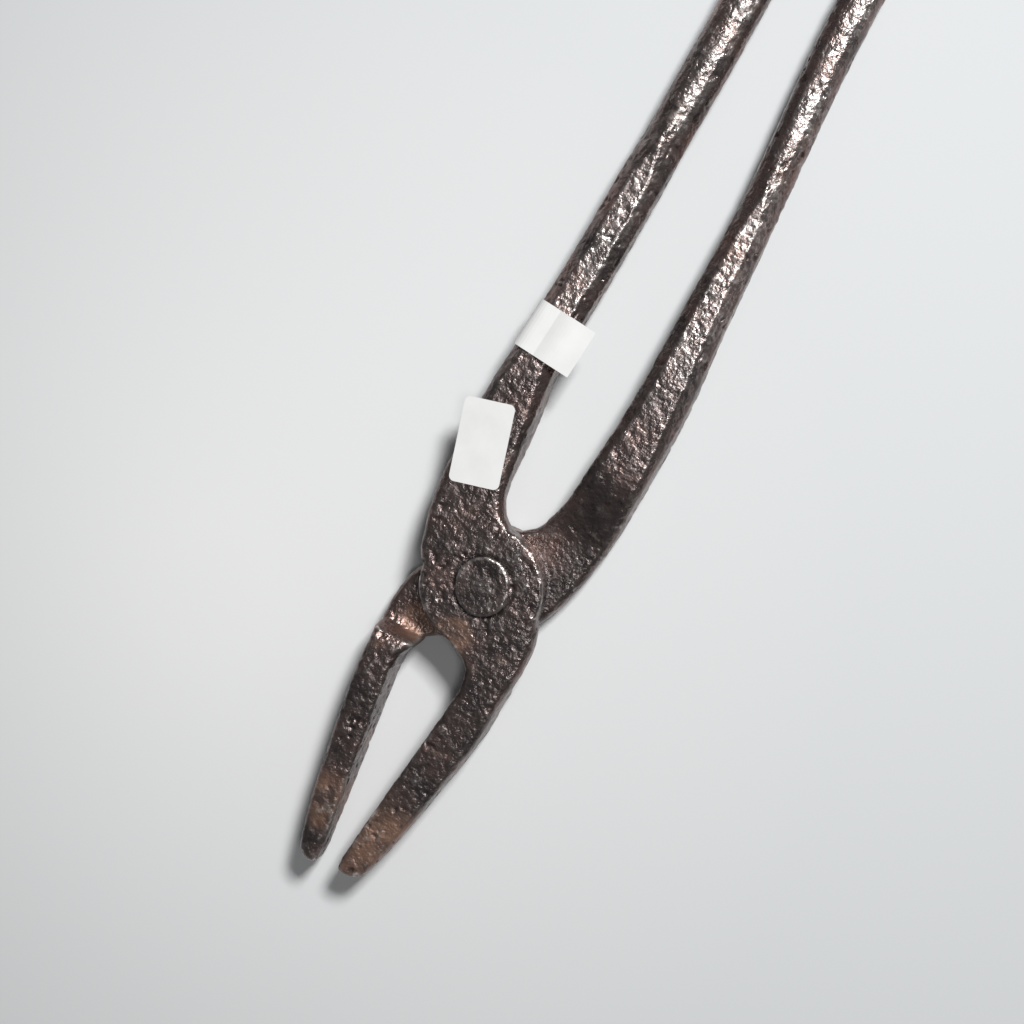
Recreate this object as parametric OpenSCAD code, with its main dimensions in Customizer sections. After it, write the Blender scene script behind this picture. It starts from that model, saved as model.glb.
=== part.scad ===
// Blacksmith's flat jaw tongs: two forged halves that cross at a riveted boss.
// The origin is under the rivet, on the surface that the tongs lie on. +Y runs to the rein ends
// and +X is the side of the upper half's jaw. The jaws stand slightly open.

/* [Rivet] */
// Diameter of the rivet's shank
rivet_d = 10; // [6:0.5:13]
// Radial clearance between the shank and the lower half's hole
rivet_clearance = 0.05; // [0.02:0.01:0.1]
// Width of both rivet heads across their short way
head_w = 16.2; // [15:0.1:20]
// How much longer than wide the hammered upper head is
head_stretch = 1.6; // [0:0.1:4]
// Direction of the upper head's long way, turned from +Y
head_turn = 23; // [0:1:90]
// Height of each rivet head
head_h = 1.5; // [1:0.1:4]

/* [Boss] */
// Diameter of both boss plates
boss_d = 37.2; // [34:0.2:42]
// How far the boss plates lie off the rivet, towards the jaws
boss_offset = 0.6; // [0:0.1:2]
// Thickness of each boss plate
plate_t = 9; // [6:0.25:12]
// Gap between the two boss plates, and between the lower plate and the rivet's head
lap_gap = 0.15; // [0.1:0.05:0.5]
// Distance from the other boss plate to the foot of a jaw's shoulder
shoulder_gap = 3.5; // [1.5:0.25:6]
// Length over which the shoulder rises to the jaw's full depth
shoulder_run = 4.3; // [2:0.1:6]

/* [Jaws] */
// Distance from the rivet to the tip of the upper half's jaw
upper_jaw_reach = 97.6; // [75:0.1:130]
// Distance from the rivet to the tip of the lower half's jaw
lower_jaw_reach = 99.2; // [75:0.1:130]
// Width of the upper half's jaw at its root
upper_jaw_root_w = 12.7; // [9.5:0.1:18]
// Width of the lower half's jaw at its root
lower_jaw_root_w = 9.8; // [9:0.1:18]
// Width of the upper half's jaw at its tip
upper_jaw_tip_w = 8.6; // [7:0.1:12]
// Width of the lower half's jaw at its tip
lower_jaw_tip_w = 7.2; // [7:0.1:12]
// Depth of both jaws at the root, square to the plane they open in
jaw_root_depth = 17; // [14:0.5:20]
// Depth of both jaws at the tip
jaw_tip_depth = 11.5; // [8:0.5:18]
// Distance from the rivet to where the gripping faces begin
throat_y = 36; // [35:0.5:46]
// Opening between the jaws where the gripping faces begin
throat_gap = 20.6; // [16:0.2:26]
// Opening between the jaw tips
tip_gap = 6.9; // [5:0.1:12]
// Radius of the rounded outer corner of each tip
nose_r = 5; // [3:0.1:5.5]

/* [Reins] */
// Distance from the rivet to the end of each rein
rein_reach = 365; // [280:5:480]
// Diameter of the upper half's rein
upper_rein_d = 13.2; // [10:0.1:16]
// Diameter of the lower half's rein
lower_rein_d = 12; // [10:0.1:16]
// Width of the upper rein at its root
upper_root_w = 16.8; // [15:0.1:20]
// Width of the lower rein at its root
lower_root_w = 18; // [15:0.1:20]
// Width of the upper rein where it bows out furthest
upper_bow_w = 13.8; // [12:0.1:16]
// Width of the lower rein where it bows out furthest
lower_bow_w = 15.6; // [12:0.1:16]
// Depth of both reins at their root
rein_root_depth = 17; // [14:0.25:20]
// Distance from the rivet's line to the middle of the upper rein's root
upper_root_x = 18.1; // [16:0.1:22]
// Distance from the rivet's line to the middle of the lower rein's root
lower_root_x = 18.4; // [16:0.1:22]
// Distance from the rivet's line to the upper rein where it bows out furthest
upper_bow_x = 18.1; // [16:0.1:24]
// Distance from the rivet's line to the lower rein where it bows out furthest
lower_bow_x = 20.8; // [18:0.1:26]
// Distance from the rivet's line to the upper rein at its narrow waist
upper_waist_x = 12.6; // [12:0.1:18]
// Distance from the rivet's line to the lower rein at its narrow waist
lower_waist_x = 16.8; // [16.2:0.1:22]
// Distance from the rivet's line to the end of the upper rein
upper_end_x = 20.5; // [20:0.5:40]
// Distance from the rivet's line to the end of the lower rein
lower_end_x = 26.5; // [26:0.5:40]

/* [Labels] */
// Length of each blank paper label
label_l = 25.3; // [18:0.1:32]
// Width of each blank paper label
label_w = 15.2; // [8:0.1:18]
// Thickness of the paper
label_t = 0.25; // [0.2:0.05:0.5]
// Radius of the labels' corners
label_corner = 1.7; // [0.5:0.1:3]
// Distance from the rivet to the middle of the label on the boss
boss_label_y = 37; // [36:0.5:38]
// Height of the loose end of the label on the rein above the iron
label_lift = 1.3; // [0.5:0.1:3]

/* [Hidden] */
$fn = 72;

iron = [0.27, 0.22, 0.2];
worn_iron = [0.36, 0.32, 0.3];
paper = [0.95, 0.95, 0.94];

// Heights above the surface that the tongs lie on
lower_plate_z = head_h + lap_gap;
mid_z = lower_plate_z + plate_t + lap_gap / 2;
upper_plate_top_z = mid_z + lap_gap / 2 + plate_t;

// Heights from the middle of the lap, for a half with its boss plate uppermost. The forged limb
// stays a little inside the faces of the boss plate that it grows from.
limb_inset = 0.15;
plate_low = lap_gap / 2;
plate_high = plate_low + plate_t;
limb_low = plate_low + limb_inset;
limb_high = plate_high - limb_inset;

// Clear of the other boss plate, a jaw's shoulder and a rein's root rise to their full depth
lap_r = boss_d / 2 + boss_offset;
shoulder_foot_y = lap_r + shoulder_gap;
shoulder_y = shoulder_foot_y + shoulder_run;

// Middle of the opening between the jaws, which lies to the lower half's side
throat_mid_x = -3.2;
tip_mid_x = -3.95;

// How much fuller than the other's each half's outline is beside the boss, and how far the lower
// half's web fills the corner between its jaw and the boss
upper_swell = 0.7;
lower_swell = -0.9;
upper_web = 0;
lower_web = 2;

// Distances from the rivet along the reins
upper_root_y = 48;
lower_root_y = 34;
full_depth_y = 48;
flat_top_y = 54;
bow_y = 70;
round_y = 125;
waist_y = 195;
taper_y = (bow_y + round_y) / 2;

// Heights of the reins' ends from the middle of the lap: both ends rest on the surface
upper_end_z = upper_rein_d / 2 - mid_z;
lower_end_z = mid_z - lower_rein_d / 2;

// Shares of the way from the bow to the round rein that the width and the height have changed
taper_width_share = 0.6;
taper_height_share = 0.1;
round_height_share = 0.2;

// Corners of the limbs' sections: their size, and how round they are from 0, a flat chamfer, to 1
jaw_corner = 1.8;
root_corner = 2.4;
rein_corner = 3.6;
largest_corner = 0.46;
corner_steps = 4;

// Radius that softens the end of a jaw, its share on the gripping side, which stays sharper, and
// the length of a rein's domed end in rein diameters
nose_edge = 1.5;
grip_edge_share = 0.3;
dome_share = 0.45;

// Stock left proud of a gripping face, and the block that dresses the face flat
grip_stock = 0.6;
grip_block = 6;

function lerp(a, b, t) = a + (b - a) * t;

// A profile is a list of [distance, value, value]. A monotone cubic runs through its values.
function span(s, y, i = 0) = i >= len(s) - 2 || y <= s[i + 1][0] ? i : span(s, y, i + 1);
function rise(s, i, c) = (s[i + 1][c] - s[i][c]) / (s[i + 1][0] - s[i][0]);
function blend(a, b) = a * b <= 0 ? 0 : 2 * a * b / (a + b);
function tangent(s, i, c) =
    i == 0 ? rise(s, 0, c)
    : i == len(s) - 1 ? rise(s, i - 1, c)
    : blend(rise(s, i - 1, c), rise(s, i, c));
function read(s, y, c) =
    let (i = span(s, y))
    let (h = s[i + 1][0] - s[i][0])
    let (t = max(0, min(1, (y - s[i][0]) / h)))
    (2 * t^3 - 3 * t^2 + 1) * s[i][c]
    + (t^3 - 2 * t^2 + t) * h * tangent(s, i, c)
    + (3 * t^2 - 2 * t^3) * s[i + 1][c]
    + (t^3 - t^2) * h * tangent(s, i + 1, c);

// One corner of a section, between a flat chamfer and a round
function corner(x, z, size, soft, turn) = [
    for (k = [0 : corner_steps])
        let (a = turn + 90 * k / corner_steps)
        let (flat = lerp([cos(turn), sin(turn)], [-sin(turn), cos(turn)], k / corner_steps))
        [x, z] + size * lerp(flat, [cos(a), sin(a)], soft)
];

// The outline of a section between two sides and two heights
function section(x0, x1, z0, z1, wanted, soft) =
    let (size = min(wanted, largest_corner * min(x1 - x0, z1 - z0)))
    concat(
        corner(x1 - size, z1 - size, size, soft, 0),
        corner(x0 + size, z1 - size, size, soft, 90),
        corner(x0 + size, z0 + size, size, soft, 180),
        corner(x1 - size, z0 + size, size, soft, 270)
    );

// How far a rounded end has drawn in at distance d from it
function draw_in(d, r) = d >= r ? 0 : r - sqrt(max(0, r^2 - (r - d)^2));

// Distances at which a limb has a section, closest at the nose, the boss and the dome
function spread(a, b, step) =
    let (n = max(1, ceil((b - a) / step)))
    [for (k = [0 : n - 1]) lerp(a, b, k / n)];
function limb_stations(tip, dome) = concat(
    [for (a = [90 : -18 : 18]) tip + nose_r * (1 - sin(a))],
    spread(tip + nose_r, -throat_y, 6),
    spread(-throat_y, full_depth_y, 2.5),
    spread(full_depth_y, round_y, 7),
    spread(round_y, rein_reach - dome, 12),
    [for (a = [0 : 18 : 90]) rein_reach - dome * (1 - sin(a))]
);

// The section of a limb at distance y
function limb_ring(plan, side, edge, y, tip, dome) =
    let (inward = max(0, 1 - (rein_reach - y) / dome))
    let (shrink = sqrt(1 - 0.8 * inward^2))
    let (soften = draw_in(y - tip, nose_edge))
    let (x0 = read(plan, y, 1) + grip_edge_share * soften)
    let (x1 = read(plan, y, 2) - draw_in(y - tip, nose_r))
    let (z0 = read(side, y, 1) + soften)
    let (z1 = read(side, y, 2) - soften)
    let (xc = (x0 + x1) / 2)
    let (zc = (z0 + z1) / 2)
    let (outline = section(
        lerp(xc, x0, shrink), lerp(xc, x1, shrink), lerp(zc, z0, shrink), lerp(zc, z1, shrink),
        read(edge, y, 1) * shrink, read(edge, y, 2)
    ))
    [for (p = outline) [p[0], y, p[1]]];

// A closed skin over a row of rings that have equally many points
module skin(rings) {
    n = len(rings[0]);
    last = (len(rings) - 1) * n;
    sides = [
        for (i = [0 : len(rings) - 2])
            for (k = [0 : n - 1])
                let (a = i * n + k)
                let (b = i * n + (k + 1) % n)
                each [[a, b, b + n], [a, b + n, a + n]]
    ];
    caps = [
        for (k = [1 : n - 2])
            each [[0, k + 1, k], [last, last + k, last + k + 1]]
    ];
    polyhedron(points = [for (ring = rings) each ring], faces = concat(sides, caps), convexity = 8);
}

// A round plate with its rims chamfered
module disc(r, z0, z1, chamfer) {
    rotate_extrude()
        polygon([
            [0, z0], [r - chamfer, z0], [r, z0 + chamfer],
            [r, z1 - chamfer], [r - chamfer, z1], [0, z1]
        ]);
}

// One half, with its jaw on +X, its rein on -X, its boss plate uppermost and the middle of the
// lap at height 0. Turned over, the same thing is the other half.
module half(
    bore_d, boss_x, swell, web, jaw_reach, jaw_w, tip_w, throat_x, tip_x,
    rein_d, root_y, root_x, root_w, bow_x, bow_w, round_x, waist_x, end_x, end_z
) {
    r = boss_d / 2;
    dome = dome_share * rein_d;
    nose_y = nose_r - jaw_reach;
    lean = (throat_x - tip_x) / (-throat_y - nose_y);
    jaw_out = throat_x + jaw_w;
    rein_out = -root_x - root_w / 2;
    rein_in = -root_x + root_w / 2;
    taper_w = lerp(bow_w, rein_d, taper_width_share);
    taper_x = lerp(bow_x, round_x, 0.6);
    taper_z = taper_height_share * end_z;
    round_z = round_height_share * end_z;
    plan = [
        [-jaw_reach, tip_x, tip_x + tip_w],
        [nose_y, tip_x, tip_x + tip_w],
        [nose_y + 5, tip_x + 5 * lean - grip_stock, lerp(tip_x + tip_w, jaw_out, 0.15)],
        [(nose_y - throat_y) / 2, (tip_x + throat_x) / 2 - grip_stock, lerp(tip_x + tip_w, jaw_out, 0.6)],
        [-throat_y - 1, throat_x - lean - grip_stock, jaw_out],
        [-shoulder_y - 4, throat_x + 0.6 - 0.4 * web, jaw_out + 0.2],
        [-shoulder_y, throat_x - 0.2 - web, jaw_out + 0.5],
        [-r - 4.5, throat_x - 1.5 - web, jaw_out + 1],
        [-r - 2, throat_x - 6 - web, jaw_out + 1.3],
        [-r, -0.2 * r, jaw_out + 1.4 + 0.2 * swell],
        [-0.6 * r, -0.65 * r, jaw_out + 1 + 0.8 * swell],
        [-0.25 * r, -0.95 * r, jaw_out - 1 + 1.6 * swell],
        [0, -r - 2.5 - swell, 0.92 * r],
        [0.43 * r, lerp(-r, rein_out, 0.6) - swell, 0.6 * r],
        [0.85 * r, lerp(-r, rein_out, 0.82) - swell, 0.2 * r],
        [r + 1, lerp(-r, rein_out, 0.88) - 0.9 * swell, 0.33 * rein_in],
        [r + 4, lerp(-r, rein_out, 0.93) - 0.7 * swell, 0.58 * rein_in],
        [r + 9, lerp(-r, rein_out, 0.97) - 0.4 * swell, 0.78 * rein_in],
        [root_y, rein_out, rein_in],
        [bow_y, -bow_x - bow_w / 2, -bow_x + bow_w / 2],
        [taper_y, -taper_x - taper_w / 2, -taper_x + taper_w / 2],
        [round_y, -round_x - rein_d / 2, -round_x + rein_d / 2],
        [waist_y, -waist_x - rein_d / 2, -waist_x + rein_d / 2],
        [rein_reach, -end_x - rein_d / 2, -end_x + rein_d / 2]
    ];
    side = [
        [-jaw_reach, -jaw_tip_depth / 2, jaw_tip_depth / 2],
        [-throat_y, -jaw_root_depth / 2, jaw_root_depth / 2],
        [-shoulder_y, -jaw_root_depth / 2, limb_high - 0.1],
        [-shoulder_foot_y, limb_low, limb_high],
        [lap_r + 1.5, limb_low, limb_high],
        [full_depth_y, limb_high - rein_root_depth, limb_high],
        [flat_top_y, limb_high - rein_root_depth, limb_high],
        [taper_y, taper_z - taper_w / 2, taper_z + taper_w / 2],
        [round_y, round_z - rein_d / 2, round_z + rein_d / 2],
        [rein_reach - dome, end_z - rein_d / 2, end_z + rein_d / 2],
        [rein_reach, end_z - rein_d / 2, end_z + rein_d / 2]
    ];
    edge = [
        [-jaw_reach, jaw_corner, 0.8],
        [full_depth_y, root_corner, 0.6],
        [bow_y, rein_corner, 0.15],
        [round_y, rein_corner, 0.15],
        [round_y + 30, rein_d, 1],
        [rein_reach, rein_d, 1]
    ];
    difference() {
        union() {
            skin([
                for (y = limb_stations(-jaw_reach, dome))
                    limb_ring(plan, side, edge, y, -jaw_reach, dome)
            ]);
            translate([boss_x, -boss_offset, 0]) disc(r, plate_low, plate_high, 0.8);
        }
        translate([0, 0, -plate_t]) cylinder(h = 3 * plate_t, d = bore_d);
        translate([throat_x, -throat_y, 0])
            rotate([0, 0, -atan(lean)])
                translate([-grip_block, -jaw_reach, -jaw_root_depth])
                    cube([grip_block, jaw_reach + 1, 2 * jaw_root_depth]);
    }
}

module upper_half() {
    color(iron)
        translate([0, 0, mid_z])
            half(
                bore_d = rivet_d, boss_x = -boss_offset, swell = upper_swell, web = upper_web,
                jaw_reach = upper_jaw_reach, jaw_w = upper_jaw_root_w, tip_w = upper_jaw_tip_w,
                throat_x = throat_mid_x + throat_gap / 2, tip_x = tip_mid_x + tip_gap / 2,
                rein_d = upper_rein_d,
                root_y = upper_root_y, root_x = upper_root_x, root_w = upper_root_w,
                bow_x = upper_bow_x, bow_w = upper_bow_w,
                round_x = lerp(upper_bow_x, upper_waist_x, 0.57),
                waist_x = upper_waist_x, end_x = upper_end_x,
                end_z = upper_end_z
            );
}

// The lower half is turned over, so its left and its heights are the other way round
module lower_half() {
    color(iron)
        translate([0, 0, mid_z])
            rotate([0, 180, 0])
                half(
                    bore_d = rivet_d + 2 * rivet_clearance,
                    boss_x = 0, swell = lower_swell, web = lower_web,
                    jaw_reach = lower_jaw_reach, jaw_w = lower_jaw_root_w, tip_w = lower_jaw_tip_w,
                    throat_x = throat_gap / 2 - throat_mid_x, tip_x = tip_gap / 2 - tip_mid_x,
                    rein_d = lower_rein_d,
                    root_y = lower_root_y, root_x = lower_root_x, root_w = lower_root_w,
                    bow_x = lower_bow_x, bow_w = lower_bow_w,
                    round_x = lerp(lower_bow_x, lower_waist_x, 0.28),
                    waist_x = lower_waist_x, end_x = lower_end_x,
                    end_z = lower_end_z
                );
}

// The shank fills the upper half's hole and runs free in the lower half's
module rivet() {
    color(worn_iron) {
        disc(head_w / 2, 0, head_h, 0.5);
        translate([0, 0, head_h / 2])
            cylinder(h = upper_plate_top_z, d = rivet_d);
        translate([0, 0, upper_plate_top_z])
            rotate([0, 0, head_turn])
                hull()
                    for (y = [-head_stretch / 2, head_stretch / 2])
                        translate([0, y, 0])
                            disc(head_w / 2, 0, head_h, 0.5);
    }
}

// A flat label on the root of the upper rein, with one corner over the rein's outer edge
module boss_label() {
    color(paper)
        translate([-upper_root_x - 1.7, boss_label_y, mid_z + limb_high])
            rotate([0, 0, 15.5])
                hull()
                    for (x = [-1, 1], y = [-1, 1])
                        translate([x * (label_w / 2 - label_corner), y * (label_l / 2 - label_corner), 0])
                            cylinder(h = label_t, r = label_corner, $fn = 32);
}

// A label laid across the upper rein: it is stuck down the outer side and over the flat, and
// its other end lifts clear. The path runs from the loose end to the end that is stuck.
module rein_label() {
    edge_x = -upper_bow_w / 2 - 0.15;
    loose_x = upper_bow_w / 2 + 5;
    stuck_x = 0;
    bend_r = rein_corner;
    down = label_l - (loose_x - edge_x) + bend_r * (2 - PI / 2) - 0.8;
    path = concat(
        [
            for (k = [0 : 12])
                let (t = 1 - k / 12)
                [lerp(stuck_x, loose_x, t), label_lift * sin(200 * t)]
        ],
        [for (a = [90 : 15 : 180]) [edge_x + bend_r + bend_r * cos(a), bend_r * sin(a) - bend_r]],
        [[edge_x, -bend_r - down]]
    );
    last = len(path) - 1;
    outer = [
        for (i = [0 : last])
            let (run = path[min(i + 1, last)] - path[max(i - 1, 0)])
            path[i] + label_t * [run[1], -run[0]] / norm(run)
    ];
    taper_w = lerp(upper_bow_w, upper_rein_d, taper_width_share);
    taper_top = taper_height_share * upper_end_z + taper_w / 2;
    drop = (limb_high - taper_top) / (taper_y - flat_top_y);
    color(paper)
        translate([-upper_bow_x + 0.3, bow_y + 4, mid_z + limb_high - drop * 14])
            rotate([-atan(drop), 0, -5])
                rotate([90, 0, 0])
                    translate([0, 0, -label_w / 2])
                        linear_extrude(label_w)
                            polygon(concat(path, [for (i = [last : -1 : 0]) outer[i]]));
}

upper_half();
lower_half();
rivet();
boss_label();
rein_label();
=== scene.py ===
import math

import bmesh
import bpy
import numpy as np
from mathutils import Matrix, Vector


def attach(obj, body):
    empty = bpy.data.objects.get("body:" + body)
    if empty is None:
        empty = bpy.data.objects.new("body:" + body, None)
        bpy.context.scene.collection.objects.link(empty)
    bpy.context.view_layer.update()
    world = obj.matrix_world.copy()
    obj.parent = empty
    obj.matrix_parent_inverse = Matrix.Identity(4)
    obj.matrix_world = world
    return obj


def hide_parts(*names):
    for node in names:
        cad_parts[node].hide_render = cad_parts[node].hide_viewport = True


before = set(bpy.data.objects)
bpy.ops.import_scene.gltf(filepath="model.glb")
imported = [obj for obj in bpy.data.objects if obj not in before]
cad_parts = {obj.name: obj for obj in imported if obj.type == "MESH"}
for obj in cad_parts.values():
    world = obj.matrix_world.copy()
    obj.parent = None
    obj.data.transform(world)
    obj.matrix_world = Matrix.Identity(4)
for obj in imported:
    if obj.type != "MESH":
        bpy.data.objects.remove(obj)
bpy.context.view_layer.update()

# One millimetre in metres. Shapes and noise are worked out in millimetres.
MM = 0.001

# Height of the lap between the two halves, and of the top of the upper boss plate
LAP_Z = 10.725
PLATE_TOP_Z = 19.8
# Above these heights lie the upper plate's face and the face of the rivet's upper head
PLATE_FACE_Z = PLATE_TOP_Z - 0.5
HEAD_FACE_Z = PLATE_TOP_Z + 0.7
# Radius of the rivet's upper head, and of the crevice round it
HEAD_R = 8.4
CREVICE_R = HEAD_R + 0.5
CREVICE_DEPTH = 0.2
# Faces within this much of the lap's height and of the rivet's axis rub on the other half
LAP_BAND = 0.9
LAP_REACH = 30
# Everything nearer to the rivet's axis than this is the hole's wall or under a head
BORE_REACH = 7.5
# Most that hammer marks may stand proud
MOST_PROUD = 0.12
MOST_PROUD_HEAD = 0.1

# Grid of the rebuilt skins, in millimetres, and distance of the bump nodes, in metres
HALF_VOXEL = 0.45
RIVET_VOXEL = 0.35
HALF_RELIEF = 0.00044
RIVET_RELIEF = 0.0004
PAPER_RELIEF = 0.00005

# Seeds of the pieces' noise
UPPER_SEED = 100
LOWER_SEED = 300
RIVET_SEED = 510

SCALE_BLACK = (0.086, 0.075, 0.073)
SCALE_BROWN = (0.157, 0.123, 0.116)
SCALE_RED = (0.2, 0.133, 0.117)
RUST = (0.3, 0.157, 0.094)
# Dark of the pits, also used as painted shade in the crevice round the rivet's upper head
PIT_AND_SHADE_BLACK = (0.043, 0.031, 0.029)
# Bare metal of the worn parts, also used as a painted sheen on the tops of the reins
BARE_METAL_AND_SHEEN = (0.88, 0.83, 0.79)
WEAR_AND_SHEEN_GAIN = 1.3

# In metres: how far the floor reaches each way, and how far it lies under the tongs
FLOOR_REACH = 3
FLOOR_GAP = 0.0001
# Centre of a painted pool of light: the camera sees the floor palest here, to the left of the
# tongs
LIGHT_POOL_CENTRE = (-0.08, -0.045, 0)
# Colour of the floor in the light that it throws back on the tongs
FLOOR_GREY = (0.66, 0.66, 0.67)


# A fixed value from -1 to 1 for each point of a lattice
def lattice(ix, iy, iz, seed):
    h = (ix * 73856093) ^ (iy * 19349663) ^ (iz * 83492791) ^ (seed * 2654435761)
    h = (h ^ (h >> 13)) * 1274126177
    h = (h ^ (h >> 16)) & 0xFFFF
    return h / 32767.5 - 1.0


# Smooth noise from -1 to 1 at points in millimetres, with features of about that size
def noise(p, size, seed):
    q = p / size + 1000.0
    cell = np.floor(q).astype(np.int64)
    t = q - cell
    t = t * t * (3 - 2 * t)
    total = np.zeros(len(p))
    for dx in (0, 1):
        for dy in (0, 1):
            for dz in (0, 1):
                w = t[:, 0] if dx else 1 - t[:, 0]
                w = w * (t[:, 1] if dy else 1 - t[:, 1])
                w = w * (t[:, 2] if dz else 1 - t[:, 2])
                total += w * lattice(cell[:, 0] + dx, cell[:, 1] + dy, cell[:, 2] + dz, seed)
    return total


# Noise in octaves, each half the size and half the strength of the one before
def fractal(p, size, seed, octaves):
    total = np.zeros(len(p))
    for k in range(octaves):
        total += noise(p, size / 2**k, seed + k) / 2**k
    return total / 1.5


# 0 below low, 1 above high and a smooth step between
def ramp(v, low, high):
    t = np.clip((v - low) / (high - low), 0, 1)
    return t * t * (3 - 2 * t)


# A mesh's points in millimetres and its normals
def points_and_normals(mesh):
    co = np.zeros(len(mesh.vertices) * 3)
    mesh.vertices.foreach_get("co", co)
    no = np.zeros(len(mesh.vertices) * 3, np.float32)
    mesh.vertex_normals.foreach_get("vector", no)
    return co.reshape(-1, 3) / MM, no.reshape(-1, 3).astype(float)


def set_points(mesh, p):
    mesh.vertices.foreach_set("co", (p * MM).ravel())
    mesh.update()


# Values at a mesh's points that its material reads by name
def store(mesh, **fields):
    for name, values in fields.items():
        layer = mesh.attributes.new(name, "FLOAT", "POINT")
        layer.data.foreach_set("value", values.astype(np.float32))


# How far each point stands out from its neighbourhood, in millimetres
def bulge(mesh, p, n, rounds=6):
    pairs = np.zeros(len(mesh.edges) * 2, np.int64)
    mesh.edges.foreach_get("vertices", pairs)
    pairs = pairs.reshape(-1, 2)
    count = np.bincount(pairs.ravel(), minlength=len(p))[:, None]
    mean = p
    for _ in range(rounds):
        total = np.zeros_like(mean)
        np.add.at(total, pairs[:, 0], mean[pairs[:, 1]])
        np.add.at(total, pairs[:, 1], mean[pairs[:, 0]])
        mean = 0.4 * mean + 0.6 * total / np.maximum(count, 1)
    return np.einsum("ij,ij->i", p - mean, n)


# A copy of a CAD node, rebuilt as an even skin that can carry hammer marks and pits
def even_skin(node, name, voxel):
    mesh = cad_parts[node].data.copy()
    obj = bpy.data.objects.new(name, mesh)
    bpy.context.scene.collection.objects.link(obj)
    bm = bmesh.new()
    bm.from_mesh(mesh)
    bmesh.ops.remove_doubles(bm, verts=bm.verts, dist=1e-6)
    bm.to_mesh(mesh)
    bm.free()
    remesh = obj.modifiers.new("remesh", "REMESH")
    remesh.mode = "VOXEL"
    remesh.voxel_size = voxel * MM
    smooth = obj.modifiers.new("smooth", "SMOOTH")
    smooth.factor = 0.5
    smooth.iterations = 3
    depsgraph = bpy.context.evaluated_depsgraph_get()
    made = bpy.data.meshes.new_from_object(obj.evaluated_get(depsgraph))
    obj.modifiers.clear()
    obj.data = made
    made.polygons.foreach_set("use_smooth", np.ones(len(made.polygons), bool))
    return obj


# Forge marks: broad hammer dents, a scaly skin and rust pits, with the depth of each in
# millimetres. Worn edges stay smoother. Rust spots are (x, y, reach).
def forge(obj, seed, dents, scale, pits, rust_spots):
    p, n = points_and_normals(obj.data)
    edge_wear = ramp(bulge(obj.data, p, n), 0.03, 0.16)
    warp = p + 1.6 * np.stack([noise(p, 5, seed + k) for k in (31, 32, 33)], axis=1)
    broad = fractal(warp, 13, seed, 2)
    grain = fractal(warp, 2.4, seed + 5, 3)
    pit_field = noise(p, 1.9, seed + 9) + 0.7 * noise(p, 1.0, seed + 10)
    patch = ramp(fractal(p, 22, seed + 12, 2), -0.4, 0.4)
    pit = ramp(pit_field, 0.45, 0.95) * (0.35 + 0.65 * patch)
    height = dents * broad + scale * grain * (1 - 0.6 * edge_wear)
    height = height - pits * pit * (1 - 0.7 * edge_wear)

    # A crevice runs round the rivet's upper head: a shallow dent, darkened with painted shade
    from_rivet = np.hypot(p[:, 0], p[:, 1])
    on_top = p[:, 2] > PLATE_FACE_Z
    crevice_and_shade = ramp(-np.abs(from_rivet - CREVICE_R), -1.1, -0.2) * on_top
    pit = np.maximum(pit, crevice_and_shade)
    height = height - CREVICE_DEPTH * crevice_and_shade

    # The faces that rub at the lap have no marks, and those that the tongs lie on fade to none
    near_lap = (np.abs(p[:, 2] - LAP_Z) < LAP_BAND) & (from_rivet < LAP_REACH)
    height[near_lap | (from_rivet < BORE_REACH)] = 0
    height *= ramp(p[:, 2], 0.1, 1.5)
    p = p + n * np.minimum(height, MOST_PROUD)[:, None]
    set_points(obj.data, p)

    # Edges and the peaks of the scale are worn. The tops of the reins, facing up and leaning
    # towards +x, get bare metal that is partly rubbed by hands and partly a painted sheen
    worn = edge_wear * (0.55 + 0.6 * noise(p, 6, seed + 20)) + 0.25 * ramp(grain, 0.25, 0.8)
    rubbed_and_sheen = ramp(p[:, 1], 55, 110) * ramp(n[:, 2] + 0.3 * n[:, 0], 0.8, 1.04)
    rubbed_and_sheen = rubbed_and_sheen * (0.8 + 0.6 * noise(p, 7, seed + 21))
    worn = np.clip(np.clip(worn, 0, 1) + 0.4 * rubbed_and_sheen, 0, 1)

    rust = np.zeros(len(p))
    for x, y, reach in rust_spots:
        inside = -np.hypot(p[:, 0] - x, p[:, 1] - y)
        rust = np.maximum(rust, ramp(inside, -reach, -0.45 * reach))
    rust = np.clip(rust * (0.75 + 0.5 * noise(p, 4, seed + 25)), 0, 1)
    store(obj.data, worn=worn, pit=pit, rust=rust)
    return obj


# The rivet's upper head is hammered: its face is lumpy inside the worn rim
def hammer_head(obj):
    p, n = points_and_normals(obj.data)
    rim = ramp(bulge(obj.data, p, n), 0.02, 0.15)
    lumps = 0.3 * fractal(p, 4.5, RIVET_SEED, 3) * (p[:, 2] > HEAD_FACE_Z)
    p = p + n * np.minimum(lumps, MOST_PROUD_HEAD)[:, None]
    set_points(obj.data, p)
    worn = rim * (0.7 + 0.5 * noise(p, 3, RIVET_SEED + 10)) + 0.2 * ramp(lumps, 0, 0.2)
    worn = np.clip(worn, 0, 1)
    store(obj.data, worn=worn, pit=ramp(-lumps, 0.08, 0.22), rust=0 * rim)
    return obj


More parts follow.
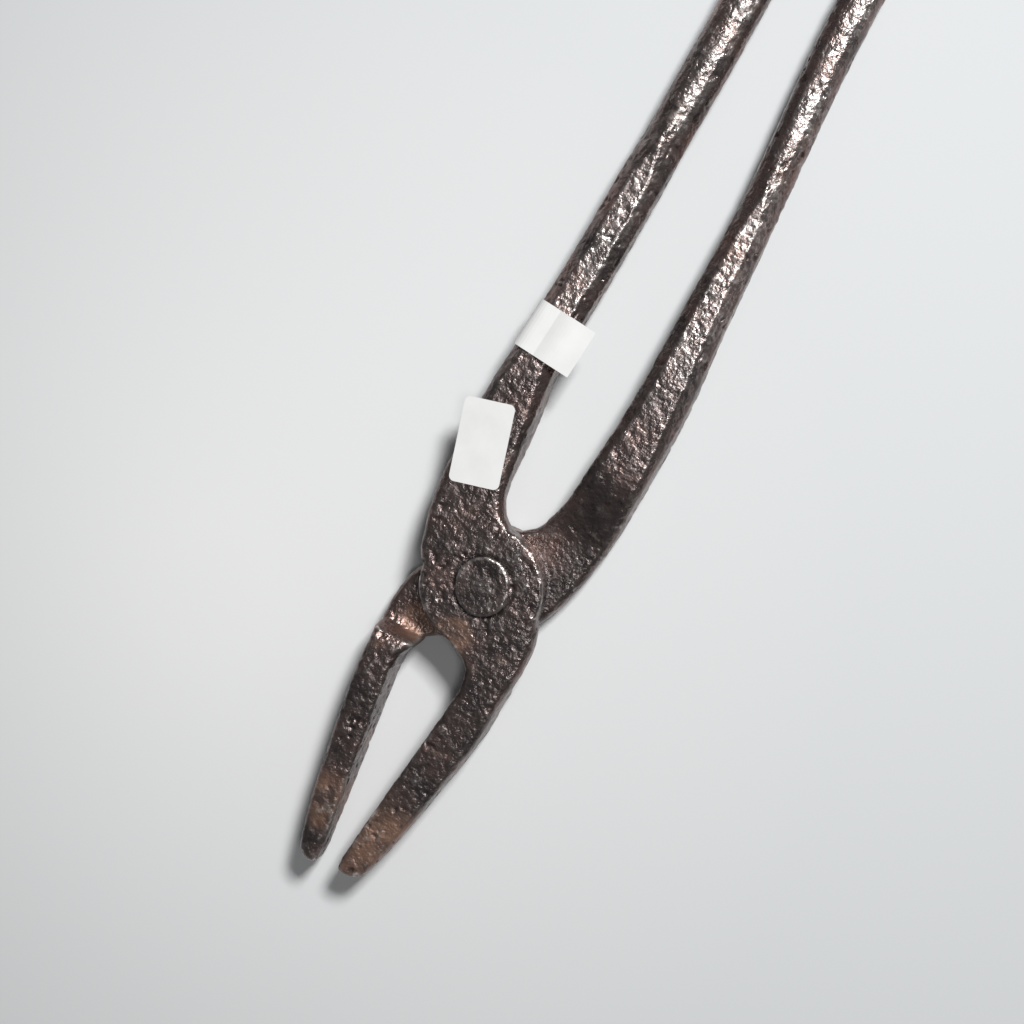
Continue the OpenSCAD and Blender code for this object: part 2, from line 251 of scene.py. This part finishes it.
class Nodes:
    """A material's node tree, with short calls for its nodes"""

    def __init__(self, name):
        self.material = bpy.data.materials.new(name)
        self.material.use_nodes = True
        self.tree = self.material.node_tree
        self.shader = self.tree.nodes["Principled BSDF"]

    def add(self, kind, **inputs):
        node = self.tree.nodes.new(kind)
        for key, value in inputs.items():
            self.put(node, key, value)
        return node

    def put(self, node, key, value):
        if isinstance(value, bpy.types.NodeSocket):
            self.tree.links.new(value, node.inputs[key])
        else:
            node.inputs[key].default_value = value

    # Noise with features of about that size in millimetres
    def noise(self, size, detail, rough=0.6):
        where = self.add("ShaderNodeTexCoord").outputs["Object"]
        scale = 1 / (size * MM)
        made = self.add(
            "ShaderNodeTexNoise", Scale=scale, Detail=detail, Roughness=rough, Vector=where
        )
        return made.outputs["Fac"]

    def attribute(self, name):
        node = self.add("ShaderNodeAttribute")
        node.attribute_name = name
        return node.outputs["Fac"]

    # Stops are (place, grey level or colour)
    def ramp(self, value, *stops):
        node = self.add("ShaderNodeValToRGB", Fac=value)
        band = node.color_ramp
        while len(band.elements) < len(stops):
            band.elements.new(0.5)
        for element, (place, colour) in zip(band.elements, stops):
            element.position = place
            level = colour if isinstance(colour, tuple) else (colour, colour, colour)
            element.color = (*level, 1)
        return node.outputs["Color"]

    def mix(self, amount, a, b):
        node = self.add("ShaderNodeMix")
        node.data_type = "RGBA"
        self.put(node, 0, amount)
        for key, value in ((6, a), (7, b)):
            self.put(node, key, (*value, 1) if isinstance(value, tuple) else value)
        return node.outputs[2]

    def math(self, operation, a, b):
        node = self.add("ShaderNodeMath")
        node.operation = operation
        self.put(node, 0, a)
        self.put(node, 1, b)
        return node.outputs[0]

    def bump(self, height, strength, distance):
        node = self.add("ShaderNodeBump", Height=height, Strength=strength, Distance=distance)
        self.put(self.shader, "Normal", node.outputs["Normal"])


# Old forged iron: brown-black scale, rust in spots and hollows, bare metal where it is rubbed, a
# painted sheen on the tops of the reins, and painted shade in the crevice round the rivet's head
def iron_material(name, relief):
    m = Nodes(name)
    blotch = m.noise(14, 5)
    grit = m.noise(1.5, 3, 0.5)
    scale_colour = m.ramp(blotch, (0.32, SCALE_BLACK), (0.5, SCALE_BROWN), (0.68, SCALE_RED))
    rusty = m.ramp(m.noise(9, 4), (0.6, 0.0), (0.75, 0.3))
    rusty = m.math("MAXIMUM", rusty, m.math("MULTIPLY", m.attribute("rust"), 0.6))
    colour = m.mix(rusty, scale_colour, RUST)
    # Pits are darkened, and so is the crevice round the rivet's head, where the dark is painted
    # shade
    colour = m.mix(m.math("MULTIPLY", m.attribute("pit"), 0.75), colour, PIT_AND_SHADE_BLACK)
    speckle = m.ramp(grit, (0.5, 0.0), (0.62, 1.0))
    # Bare metal where the iron is worn, and a painted sheen on the tops of the reins
    bare_and_sheen = m.math("MULTIPLY", m.attribute("worn"), WEAR_AND_SHEEN_GAIN)
    bare_and_sheen = m.math("MULTIPLY", bare_and_sheen, m.math("ADD", m.math("MULTIPLY", speckle, 0.7), 0.3))
    bare_and_sheen = m.math("MINIMUM", bare_and_sheen, 1.0)
    colour = m.mix(bare_and_sheen, colour, BARE_METAL_AND_SHEEN)
    m.put(m.shader, "Base Color", colour)
    m.put(m.shader, "Metallic", m.math("SUBTRACT", 0.85, m.math("MULTIPLY", rusty, 0.6)))
    m.put(m.shader, "Specular IOR Level", 0.8)
    rough = m.ramp(m.noise(4, 4), (0.35, 0.38), (0.62, 0.24))
    m.put(m.shader, "Roughness", m.math("ADD", rough, m.math("MULTIPLY", rusty, 0.2)))
    m.bump(m.math("ADD", grit, m.math("MULTIPLY", m.noise(0.7, 2), 0.25)), 1.0, relief)
    return m.material


def paper_material(name):
    m = Nodes(name)
    fibre = m.noise(0.6, 5)
    white = m.ramp(m.noise(9, 3), (0.3, (0.72, 0.72, 0.71)), (0.7, (0.77, 0.77, 0.76)))
    m.put(m.shader, "Base Color", white)
    m.put(m.shader, "Roughness", m.ramp(fibre, (0.3, 0.8), (0.7, 0.92)))
    m.bump(fibre, 0.2, PAPER_RELIEF)
    return m.material


# The camera sees the floor in a pale grey with a painted pool of light, which darkens away from
# its palest place
def floor_material(name):
    m = Nodes(name)
    where = m.add("ShaderNodeTexCoord").outputs["Object"]
    away = m.add("ShaderNodeVectorMath")
    away.operation = "DISTANCE"
    m.put(away, 0, where)
    away.inputs[1].default_value = LIGHT_POOL_CENTRE
    painted_light_pool = m.ramp(
        away.outputs["Value"],
        (0.02, (0.8, 0.8, 0.8)),
        (0.2, (0.64, 0.655, 0.66)),
        (0.4, (0.54, 0.555, 0.57)),
    )
    seen = m.add("ShaderNodeLightPath").outputs["Is Camera Ray"]
    m.put(m.shader, "Base Color", m.mix(seen, FLOOR_GREY, painted_light_pool))
    m.put(m.shader, "Roughness", 0.8)
    return m.material


def dress(obj, material):
    obj.data.materials.clear()
    obj.data.materials.append(material)


half_iron = iron_material("forged_iron", HALF_RELIEF)
rivet_iron = iron_material("rivet_iron", RIVET_RELIEF)
paper = paper_material("paper")

upper_rust = [(-1.4, -17.4, 8), (5, -84, 19)]
lower_rust = [(-13, -20, 8), (-12, -80, 12)]
for node, body, seed, spots in (
    ("upper_half", "upper", UPPER_SEED, upper_rust),
    ("lower_half", "lower", LOWER_SEED, lower_rust),
):
    skin = even_skin(node, node + "_forged", HALF_VOXEL)
    forge(skin, seed, dents=0.13, scale=0.26, pits=0.42, rust_spots=spots)
    dress(skin, half_iron)
    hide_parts(node)
    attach(skin, body)

head = hammer_head(even_skin("rivet", "rivet_hammered", RIVET_VOXEL))
dress(head, rivet_iron)
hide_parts("rivet")
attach(head, "upper")

for node in ("boss_label", "rein_label"):
    dress(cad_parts[node], paper)

# Pale surface that the tongs lie on
corners = [(x * FLOOR_REACH, y * FLOOR_REACH, 0) for x, y in ((-1, -1), (1, -1), (1, 1), (-1, 1))]
floor_mesh = bpy.data.meshes.new("floor")
floor_mesh.from_pydata(corners, [], [(0, 1, 2, 3)])
floor = bpy.data.objects.new("floor", floor_mesh)
bpy.context.scene.collection.objects.link(floor)
floor.location.z = -FLOOR_GAP
dress(floor, floor_material("pale_floor"))

world = bpy.data.worlds.new("studio")
bpy.context.scene.world = world
world.use_nodes = True
sky = world.node_tree.nodes["Background"].inputs
sky["Color"].default_value = (0.95, 0.97, 1, 1)
sky["Strength"].default_value = 0.09


# A square lamp that shines at the rivet
def area_light(name, place, side, power):
    light = bpy.data.lights.new(name, "AREA")
    light.shape = "RECTANGLE"
    light.size = side
    light.size_y = side
    light.energy = power
    obj = bpy.data.objects.new(name, light)
    bpy.context.scene.collection.objects.link(obj)
    obj.location = place
    obj.rotation_euler = (-Vector(place)).to_track_quat("-Z", "Y").to_euler()


# The main light comes from high past the reins' ends, and a weaker one from above the boss,
# a little to the right
area_light("key", place=(0.2, 0.72, 0.95), side=0.24, power=15.4)
area_light("fill", place=(0.3, 0.15, 1.2), side=0.2, power=2.1)

# The camera looks down at the tongs, turned 28 degrees and leaning 11 degrees off the vertical
ROLL = math.radians(28)
LEAN = math.radians(11)
LEAN_WAY = math.radians(12)
turn = Matrix.Rotation(ROLL, 3, "Z")
lean_way = turn @ Vector((math.cos(LEAN_WAY), math.sin(LEAN_WAY), 0))
axis = Vector((0, 0, 1)).cross(lean_way)
camera_data = bpy.data.cameras.new("camera")
camera_data.sensor_width = 36
camera_data.lens = 70.3125
camera_data.clip_start = 0.01
camera = bpy.data.objects.new("camera", camera_data)
bpy.context.scene.collection.objects.link(camera)
camera.location = (0.082371, 0.094722, 0.590344)
camera.rotation_mode = "QUATERNION"
camera.rotation_quaternion = (Matrix.Rotation(LEAN, 3, axis) @ turn).to_quaternion()
bpy.context.scene.camera = camera
bpy.context.scene.view_settings.view_transform = "Standard"
